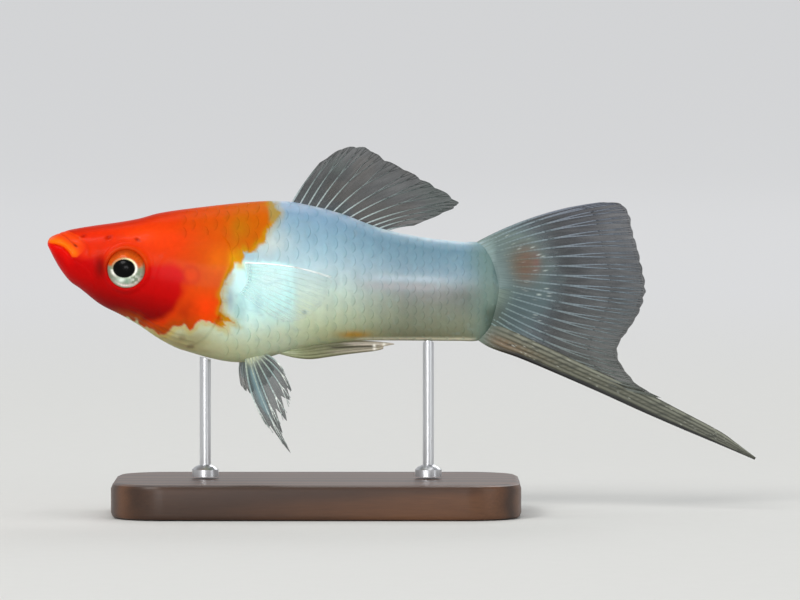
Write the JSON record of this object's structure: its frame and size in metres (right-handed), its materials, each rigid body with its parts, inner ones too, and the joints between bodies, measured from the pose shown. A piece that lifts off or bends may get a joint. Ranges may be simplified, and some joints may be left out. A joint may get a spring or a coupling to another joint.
{
  "type": "swordtail",
  "caption": "Life-size male swordtail fish with a red-orange head, pale blue-white body, clear rayed fins and a long sword on the tail, held level by slim rods on a wooden base.",
  "frame": {"origin": "centre of the underside of the stand's base", "axes": "snout towards -X and tail towards +X, back towards +Z, the fish's left side towards -Y"},
  "size_m": [0.1011, 0.034, 0.0524],
  "materials": {
    "head_skin": "gloss",
    "jaw_skin": "gloss",
    "body_skin": "gloss",
    "eye": "gloss",
    "fin": "satin",
    "sword": "satin",
    "stand_wood": "satin",
    "stand_steel": "satin"
  },
  "bodies": {
    "root": {"head": "head_skin", "lower_jaw": "jaw_skin", "gill_cover_left": "head_skin", "gill_cover_right": "head_skin", "eye_left": "eye", "eye_right": "eye", "trunk": "body_skin", "tail_stalk": "body_skin", "dorsal_fin": "fin", "caudal_fin": "fin", "sword": "sword", "gonopodium": "sword", "pectoral_fin_left": "fin", "pectoral_fin_right": "fin", "pelvic_fin_left": "fin", "pelvic_fin_right": "fin", "stand_base": "stand_wood", "stand_rod_front": "stand_steel", "stand_rod_rear": "stand_steel"}
  },
  "joints": []
}
